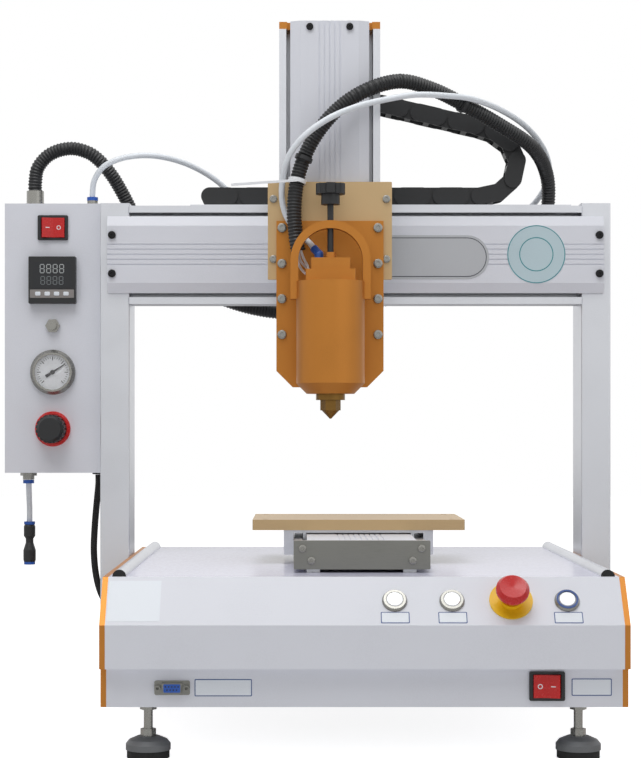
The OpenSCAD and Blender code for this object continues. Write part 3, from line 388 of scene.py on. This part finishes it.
def smooth_route(route, steps=6):
    """The route's own curve through its points, as in the part's source."""
    points = [at(*p) for p in route]
    last = len(points) - 1
    curve = []
    for i in range(last):
        p0, p1 = points[max(i - 1, 0)], points[i]
        p2, p3 = points[min(i + 1, last)], points[min(i + 2, last)]
        for k in range(steps):
            t = k / steps
            curve.append(0.5 * (2 * p1 + (p2 - p0) * t + (2 * p0 - 5 * p1 + 4 * p2 - p3) * t * t
                                + (3 * p1 - p0 - 3 * p2 + p3) * t ** 3))
    return curve + [points[-1]]


def even_path(path, step):
    """The same line with points an even step apart."""
    out, carry = [path[0]], 0.0
    for a, b in zip(path, path[1:]):
        span = (b - a).length
        reach = step - carry
        while reach < span:
            out.append(a.lerp(b, reach / span))
            reach += step
        carry = (carry + span) % step
    if (out[-1] - path[-1]).length > step * 0.3:
        out.append(path[-1])
    else:
        out[-1] = path[-1]
    return out


def tube_mesh(path, radii, sides):
    """A closed tube along a path with a radius for each point, without twist."""
    bm = bmesh.new()
    side = Vector((0, 1, 0))
    rings = []
    for i, point in enumerate(path):
        ahead = (path[min(i + 1, len(path) - 1)] - path[max(i - 1, 0)]).normalized()
        side = (side - ahead * side.dot(ahead)).normalized()
        across = ahead.cross(side)
        rings.append([bm.verts.new(point + radii[i] * (math.cos(a) * side + math.sin(a) * across))
                      for a in (math.tau * k / sides for k in range(sides))])
    for low, high in zip(rings, rings[1:]):
        for k in range(sides):
            bm.faces.new((low[k], low[(k + 1) % sides], high[(k + 1) % sides], high[k]))
    bm.faces.new(rings[0])
    bm.faces.new(rings[-1])
    return bm


def hose(name, path, diameter, finish_name, slot, body, rib=0.0, sides=16, blend=None, far_end="object",
         stiffness="medium", with_pieces=()):
    """A hose along a path, ribbed if asked, and joined to its body when it is given no blend."""
    even = even_path(path, rib / 4 if rib else diameter * 0.6)
    wave = (1.0, 0.93, 0.86, 0.93) if rib else (1.0,)
    radii = [diameter / 2 * wave[i % len(wave)] for i in range(len(even))]
    made = piece(name, tube_mesh(even, radii, sides), finish_name, None if blend else body, smooth=60)
    if blend:
        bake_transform(made)
    return made


def split_path(route, splits, steps=6):
    """A smoothed route cut at the given route points."""
    path = smooth_route(route, steps)
    marks = [0] + [s * steps for s in splits] + [len(path) - 1]
    return [path[a:b + 1] for a, b in zip(marks, marks[1:])]


def carried(parts, name):
    """The pieces of one hose stand for its CAD node."""
    for part in parts:
        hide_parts(name)


class ROBOT_OT_finishes(bpy.types.Operator):
    """Makes the finishes and puts them on the CAD nodes"""
    bl_idname = "robot.finishes"
    bl_label = "Finishes"

    def execute(self, context):
        make_finishes(context.scene.robot_colours)
        for finish_name, names in CAD_FINISH.items():
            for name in names.split():
                NODES[name].data.materials.clear()
                NODES[name].data.materials.append(FINISHES[finish_name])
        return {"FINISHED"}


class ROBOT_OT_hoses(bpy.types.Operator):
    """Lays the conduit, air tube, cables, ties and heater leads"""
    bl_idname = "robot.hoses"
    bl_label = "Hoses"

    def execute(self, context):
        sizes = context.scene.robot_sizes
        rear, right, left = split_path(CONDUIT_ROUTE, CONDUIT_SPLITS)
        across_x = ("frame", "x_carriage", at(0, 346, 0), at(0, 231, 0))
        across_z = ("x_carriage", "z_carriage", at(0, 0, 622), at(0, 0, 515))
        ribs = {"finish_name": "black_moulding", "slot": "black_plastic", "rib": sizes.rib_pitch}
        carried([
            hose("conduit_rear", rear, sizes.conduit, body="frame", **ribs),
            hose("conduit_right", right, sizes.conduit, body=None, blend=across_x, **ribs),
            hose("conduit_left", left, sizes.conduit, body=None, blend=across_z, **ribs),
        ], "conduit")
        conduit_right, conduit_left, conduit_x = right, left, across_x
        rear, right, left = split_path(TUBE_ROUTE, TUBE_SPLITS)
        clear = {"finish_name": "polyurethane", "slot": "white_plastic", "sides": 12}
        across_x = ("frame", "x_carriage", at(0, 380, 0), at(0, 225, 0))
        carried([
            hose("air_tube_rear", rear, sizes.tube, body="frame", **clear),
            hose("air_tube_right", right, sizes.tube, body=None, blend=across_x, **clear),
            hose("air_tube_left", left, sizes.tube, body=None, blend=across_z, **clear),
        ], "air_tube")
        # Cable ties round the conduit
        for name, route_part, height, blend, finish_name, slot in (
                ("tie_right", conduit_right, 617, conduit_x, "black_moulding", "black_plastic"),
                ("tie_left", conduit_left, 556, across_z, "black_moulding", "black_plastic"),
                ("tie_white", conduit_left, 532, across_z, "white_moulding", "white_plastic")):
            k = min(range(1, len(route_part) - 1), key=lambda i: abs(route_part[i].z - height * MM))
            ahead = route_part[k + 1] - route_part[k - 1]
            place = Matrix.Translation(route_part[k]) @ ahead.to_track_quat("Z", "Y").to_matrix().to_4x4()
            bm = bmesh.new()
            ring(bm, place @ Matrix.Translation((0, 0, -2 * MM)), sizes.conduit / MM / 2 + 1.3,
                 sizes.conduit / MM / 2 + 0.1, 4, sides=32)
            if name == "tie_white":
                tail = front_place(-91, 195, 529.5) @ Matrix.Rotation(math.radians(4), 4, "Z")
                slab(bm, tail, 64, 2.4, 0.8, radius=0.6)
            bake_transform(piece(name, bm, finish_name, None))
        cable = hose("signal_cable", smooth_route(CABLE_ROUTE), sizes.cable, "black_rubber", "black_rubber",
                     "frame")
        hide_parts("box_cable")
        inlet = hose("air_inlet_tube", smooth_route(INLET_ROUTE), sizes.tube, body="frame", far_end="fitting",
                     with_pieces=[NODES["inlet_union"]], **clear)
        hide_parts("inlet_tube")
        for i, route in enumerate(LEAD_ROUTES):
            hose(f"heater_lead_{i}", smooth_route(route), sizes.lead, "polyurethane", "white_plastic",
                 "z_carriage", sides=10, stiffness="limp")
        return {"FINISHED"}


class ROBOT_OT_chain(bpy.types.Operator):
    """Puts a copy of the rigid chain in its place"""
    bl_idname = "robot.chain"
    bl_label = "Cable chain"

    def execute(self, context):
        bm = bmesh.new()
        bm.from_mesh(NODES["cable_chain"].data)
        made = piece("chain_links", bm, "black_moulding", None)
        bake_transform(made)
        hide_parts("cable_chain")
        return {"FINISHED"}


class ROBOT_OT_head(bpy.types.Operator):
    """Adds the head's screws"""
    bl_idname = "robot.head"
    bl_label = "Head screws"

    def execute(self, context):
        head = context.scene.robot_sizes.plate_screw / MM
        bm = bmesh.new()
        for x in (-47, 47):
            for z in (488, 453, 418.5, 383.5):
                socket_screw(bm, front_place(HEAD_X + x, HEATER_FACE_Y, z), head, 3.2)
        for x in (-55.5, 55.5):
            for z in (517, 458):
                socket_screw(bm, front_place(HEAD_X + x, PLATE_FACE_Y, z), head * 0.85, 2.6)
        piece("head_screws", bm, "zinc_steel", "z_carriage")
        bm = bmesh.new()
        for x in (-19.7, 19.7):
            socket_screw(bm, front_place(HEAD_X + x, COLUMN_FACE_Y, 688), 7.0, 2.4)
        piece("column_screws", bm, "black_oxide", "x_carriage")
        return {"FINISHED"}


class ROBOT_OT_beam(bpy.types.Operator):
    """Adds the beam cover's screws, bare badge plate and plain round film"""
    bl_idname = "robot.beam"
    bl_label = "Beam trim"

    def execute(self, context):
        bm = bmesh.new()
        for x in (-247, 247):
            for z in (BEAM_Z + 19.5, BEAM_Z - 19.5):
                socket_screw(bm, front_place(x, BEAM_FACE_Y, z), 8.0, 2.6)
        piece("beam_screws", bm, "black_oxide", "frame")
        bm = bmesh.new()
        slab(bm, front_place(64, BEAM_FACE_Y, BEAM_Z - 3), 142, 44.5, 0.4, radius=22)
        piece("badge_plate", bm, "badge_foil", "frame")
        # A dark printed line round the face
        bm = bmesh.new()
        slab(bm, front_place(64, BEAM_FACE_Y - 0.4, BEAM_Z - 3), 137.5, 40, 0.1, radius=19.8)
        piece("badge_outline", bm, "badge_ink", "frame")
        bm = bmesh.new()
        slab(bm, front_place(64, BEAM_FACE_Y - 0.5, BEAM_Z - 3), 135.7, 38.2, 0.1, radius=18.9)
        piece("badge_face", bm, "badge_foil", "frame")
        bm = bmesh.new()
        cylinder(bm, front_place(183, BEAM_FACE_Y, BEAM_Z), 29.5, 0.3, sides=64)
        piece("round_film", bm, "disc_film", "frame")
        bm = bmesh.new()
        for outer, inner in ((29.3, 28.5), (17.3, 16.4)):
            ring(bm, front_place(183, BEAM_FACE_Y - 0.3, BEAM_Z), outer, inner, 0.12, sides=64)
        piece("round_film_rings", bm, "disc_ink", "frame")
        return {"FINISHED"}


# Each bar of a seven-segment digit: its place across and up, and whether it lies flat
SEGMENTS = (
    (0, 1.0, True), (0.5, 0.5, False), (0.5, -0.5, False), (0, -1.0, True),
    (-0.5, -0.5, False), (-0.5, 0.5, False), (0, 0, True),
)
DIGITS = 4


def digit_row(bm, x, z, height):
    """A row of seven-segment digits, all bars shown, on the controller's face."""
    half = height / 2
    for i in range(DIGITS):
        left = x + (i - (DIGITS - 1) / 2) * height * 0.78
        for dx, dz, flat in SEGMENTS:
            size = (height * 0.4, height * 0.1) if flat else (height * 0.1, height * 0.4)
            place = front_place(left + dx * height * 0.48, BOX_FACE_Y - 9.25, z + dz * half)
            slab(bm, place, size[0], size[1], 0.1)


def rocker_marks(bm, x, y, z, tilt, bar_side):
    """The bar and ring on the two halves of a rocker, bar_side -1 for a bar on the left."""
    pivot = Matrix.Translation(at(x, y, z)) @ Matrix.Rotation(math.radians(tilt), 4, "Z")
    for side in (-1, 1):
        half = Matrix.Translation((side * 5.65 * MM, -4.8 * MM, 0))
        place = pivot @ half @ Matrix.Rotation(math.radians(-12 * side), 4, "Z") @ FRONT
        if side == bar_side:
            slab(bm, place, 4.2, 0.8, 0.12)
        else:
            ring(bm, place, 2.2, 1.5, 0.12, sides=32)


class ROBOT_OT_control_box(bpy.types.Operator):
    """Adds the controller's face, the gauge's dial and glass, and the switch marks"""
    bl_idname = "robot.control_box"
    bl_label = "Control box trim"

    def execute(self, context):
        bm = bmesh.new()
        slab(bm, front_place(BOX_X, BOX_FACE_Y - 9, 448), 39, 27, 0.25, radius=1)
        piece("controller_window", bm, "black_ink_and_painted_shade", "frame")
        bm = bmesh.new()
        digit_row(bm, BOX_X, 454.5, 8.5)
        piece("controller_reading", bm, "grey_segments", "frame")
        bm = bmesh.new()
        digit_row(bm, BOX_X, 442.5, 8.0)
        piece("controller_setting", bm, "dim_segments", "frame")
        bm = bmesh.new()
        slab(bm, front_place(BOX_X, BOX_FACE_Y - 9, 429), 45, 8.5, 0.3, radius=0.6)
        piece("key_strip", bm, "key_film", "frame")
        bm = bmesh.new()
        for i in range(4):
            place = front_place(BOX_X + (i - 1.5) * 9.6, BOX_FACE_Y - 9.3, 429)
            slab(bm, place, 5.5, 4, 0.6, radius=1, edge=0.2)
        piece("controller_keys", bm, "label_film", "frame")
        bm = bmesh.new()
        cylinder(bm, front_place(BOX_X, BOX_FACE_Y - 4, GAUGE_Z), 17.9, 0.1, sides=64)
        piece("gauge_dial", bm, "white_moulding", "frame")
        bm = bmesh.new()
        for i in range(31):
            angle = math.radians(225 - i * 9)
            long = i % 5 == 0
            reach, length = 15.6, (3.6 if long else 2.0)
            place = front_place(BOX_X, BOX_FACE_Y - 4.1, GAUGE_Z) @ Matrix.Rotation(angle, 4, "Z")
            place = place @ Matrix.Translation(((reach - length / 2) * MM, 0, 0))
            slab(bm, place, length, 0.7 if long else 0.4, 0.08)
        piece("gauge_marks", bm, "black_ink_and_painted_shade", "frame")
        bm = bmesh.new()
        cylinder(bm, front_place(BOX_X, BOX_FACE_Y - 7, GAUGE_Z), 17.9, 0.8, sides=64, edge=0.2)
        piece("gauge_window", bm, "gauge_glass", "frame")
        bm = bmesh.new()
        rocker_marks(bm, BOX_X, BOX_FACE_Y, BOX_SWITCH_Z, ROCKER_TILT, -1)
        piece("box_rocker_marks", bm, "white_moulding", "box_switch")
        # Push-in collars where the tubes go in: box top, inlet fitting, and both ends of the union
        bm = bmesh.new()
        for x, z in ((-274, 530), (-341, 234), (-340, INLET_END_Z), (-340, INLET_END_Z - UNION_L - 3)):
            ring(bm, Matrix.Translation(at(x, 350, z)), 5.8, 3.2, 3.6 if z > 200 else 3, sides=32)
        piece("tube_collars", bm, "blue_moulding", "frame")
        return {"FINISHED"}


class ROBOT_OT_front(bpy.types.Operator):
    """Adds the labels, lamp ring, switch marks, port face and bare film of the front panel"""
    bl_idname = "robot.front"
    bl_label = "Front panel trim"

    def execute(self, context):
        edge = context.scene.robot_sizes.label_edge / MM
        film, ink = bmesh.new(), bmesh.new()
        slope_labels = [(slope_place(x, -17.2), 25, 11.5) for x in BUTTON_XS]
        band_labels = [(front_place(-123, BAND_Y, 66), 50, 15), (front_place(198, BAND_Y, 66.5), 35, 15)]
        for place, width, height in slope_labels + band_labels:
            slab(ink, place, width, height, 0.15, radius=1)
            slab(film, place @ Matrix.Translation((0, 0, 0.15 * MM)), width - 2 * edge,
                 height - 2 * edge, 0.1, radius=0.6)
        piece("label_borders", ink, "label_ink", "frame")
        piece("label_films", film, "label_film", "frame")
        bm = bmesh.new()
        ring(bm, slope_place(BUTTON_XS[2], 0, 3), 9.6, 7.8, 0.5)
        piece("start_lamp_ring", bm, "label_ink", "frame")
        bm = bmesh.new()
        # Black discs on the port's insert: painted shade standing for the shade inside the nine socket holes
        for count, z in ((5, 1.4), (4, -1.4)):
            for i in range(count):
                across = PORT_X + (i - (count - 1) / 2) * 2.77
                cylinder(bm, front_place(across, BAND_Y - 5.5, PORT_Z + z), 0.7, 0.1, sides=12)
        piece("port_holes_painted_shade", bm, "black_ink_and_painted_shade", "frame")
        bm = bmesh.new()
        slab(bm, front_place(PORT_X, BAND_Y - 5, PORT_Z), 14.6, 7.2, 0.5, radius=1)
        piece("port_insert", bm, "blue_moulding", "frame")
        bm = bmesh.new()
        rocker_marks(bm, POWER_X, BAND_Y, POWER_Z, -ROCKER_TILT, 1)
        piece("power_rocker_marks", bm, "white_moulding", "power_switch")
        bm = bmesh.new()
        slab(bm, slope_place(-201), 46, 42, 0.15, radius=0.8)
        piece("bare_film", bm, "label_film", "frame")
        return {"FINISHED"}


class ROBOT_OT_screws(bpy.types.Operator):
    """Adds the screws of the table module's end plate"""
    bl_idname = "robot.screws"
    bl_label = "Table screws"

    def execute(self, context):
        bm = bmesh.new()
        for x, z in ((-54, 183), (54, 183), (-46, 172), (46, 172)):
            socket_screw(bm, front_place(x, 79, z), 7.0, 2.2)
        piece("end_plate_screws", bm, "zinc_steel", "frame")
        return {"FINISHED"}


class ROBOT_OT_stage(bpy.types.Operator):
    """Makes the floor, the light and the camera"""
    bl_idname = "robot.stage"
    bl_label = "Stage"

    def execute(self, context):
        scene = context.scene
        bm = bmesh.new()
        bmesh.ops.create_grid(bm, x_segments=1, y_segments=1, size=6.0)
        mesh = bpy.data.meshes.new("studio_floor")
        bm.to_mesh(mesh)
        bm.free()
        floor = bpy.data.objects.new("studio_floor", mesh)
        scene.collection.objects.link(floor)
        material = bpy.data.materials.new("pale_floor")
        material.use_nodes = True
        tree = material.node_tree
        tree.nodes.clear()
        rays = add(tree, "ShaderNodeLightPath")
        matt = add(tree, "ShaderNodeBsdfDiffuse", {"Color": linear("F6F6F6")})
        glow = add(tree, "ShaderNodeEmission", {"Color": linear("FFFFFF"), "Strength": 0.85})
        lit = add(tree, "ShaderNodeAddShader", {0: (matt, "BSDF"), 1: (glow, "Emission")})
        plain = add(tree, "ShaderNodeMixShader", {0: (rays, "Is Camera Ray"), 1: (matt, "BSDF"),
                                                  2: (lit, "Shader")})
        add(tree, "ShaderNodeOutputMaterial", {"Surface": (plain, "Shader")})
        mesh.materials.append(material)

        world = bpy.data.worlds.new("studio")
        world.use_nodes = True
        scene.world = world
        tree = world.node_tree
        tree.nodes.clear()
        rays = add(tree, "ShaderNodeLightPath")
        seen = add(tree, "ShaderNodeMath", {0: (rays, "Is Camera Ray"), 1: (rays, "Is Glossy Ray")},
                   operation="MAXIMUM")
        seen = add(tree, "ShaderNodeMath", {0: (seen, "Value"), 1: (rays, "Is Transmission Ray")},
                   operation="MAXIMUM")
        level = add(tree, "ShaderNodeMapRange", {"Value": (seen, "Value"), "To Min": 0.27, "To Max": 1.0})
        sky = add(tree, "ShaderNodeBackground", {"Color": linear("FFFFFF"), "Strength": (level, "Result")})
        add(tree, "ShaderNodeOutputWorld", {"Surface": (sky, "Background")})

        for name, spot, aim, size, power in (
                ("key_light", (-500, -800, 2000), (0, 100, 200), 1.2, 15),
                ("fill_light", (1200, -1100, 900), (0, 200, 250), 1.4, 2),
                ("top_light", (200, 100, 1900), (0, 150, 200), 1.6, 11)):
            lamp = bpy.data.lights.new(name, "AREA")
            lamp.size, lamp.energy = size, power
            holder = bpy.data.objects.new(name, lamp)
            holder.location = at(*spot)
            holder.rotation_euler = (at(*aim) - at(*spot)).to_track_quat("-Z", "Y").to_euler()
            scene.collection.objects.link(holder)

        lens = bpy.data.cameras.new("photo_camera")
        lens.sensor_width = 36.0
        lens.lens = 90.6
        lens.shift_x, lens.shift_y = 0.0244, 0.062
        lens.clip_end = 50
        camera = bpy.data.objects.new("photo_camera", lens)
        camera.location = at(-54.4, -1650, 294)
        camera.rotation_euler = (math.radians(90), 0, 0)
        scene.collection.objects.link(camera)
        scene.camera = camera
        scene.view_settings.view_transform = "Standard"
        return {"FINISHED"}


class ROBOT_PT_panel(bpy.types.Panel):
    """Sidebar panel that lists the sizes, colours and steps"""
    bl_idname = "ROBOT_PT_panel"
    bl_label = "Dispensing robot"
    bl_space_type = "VIEW_3D"
    bl_region_type = "UI"
    bl_category = "Robot"

    def draw(self, context):
        for group in (context.scene.robot_sizes, context.scene.robot_colours):
            for name in group.__annotations__:
                self.layout.prop(group, name)
        for step in STEPS:
            self.layout.operator(step.bl_idname)


STEPS = (ROBOT_OT_finishes, ROBOT_OT_stage, ROBOT_OT_hoses, ROBOT_OT_chain, ROBOT_OT_head, ROBOT_OT_beam,
         ROBOT_OT_control_box, ROBOT_OT_front, ROBOT_OT_screws)
CLASSES = (RobotSizes, RobotColours) + STEPS + (ROBOT_PT_panel,)


def register():
    for cls in CLASSES:
        bpy.utils.register_class(cls)
    bpy.types.Scene.robot_sizes = PointerProperty(type=RobotSizes)
    bpy.types.Scene.robot_colours = PointerProperty(type=RobotColours)


def unregister():
    del bpy.types.Scene.robot_colours
    del bpy.types.Scene.robot_sizes
    for cls in reversed(CLASSES):
        bpy.utils.unregister_class(cls)


def main():
    register()
    for step in STEPS:
        group, name = step.bl_idname.split(".")
        getattr(getattr(bpy.ops, group), name)()


if __name__ == "__main__":
    main()
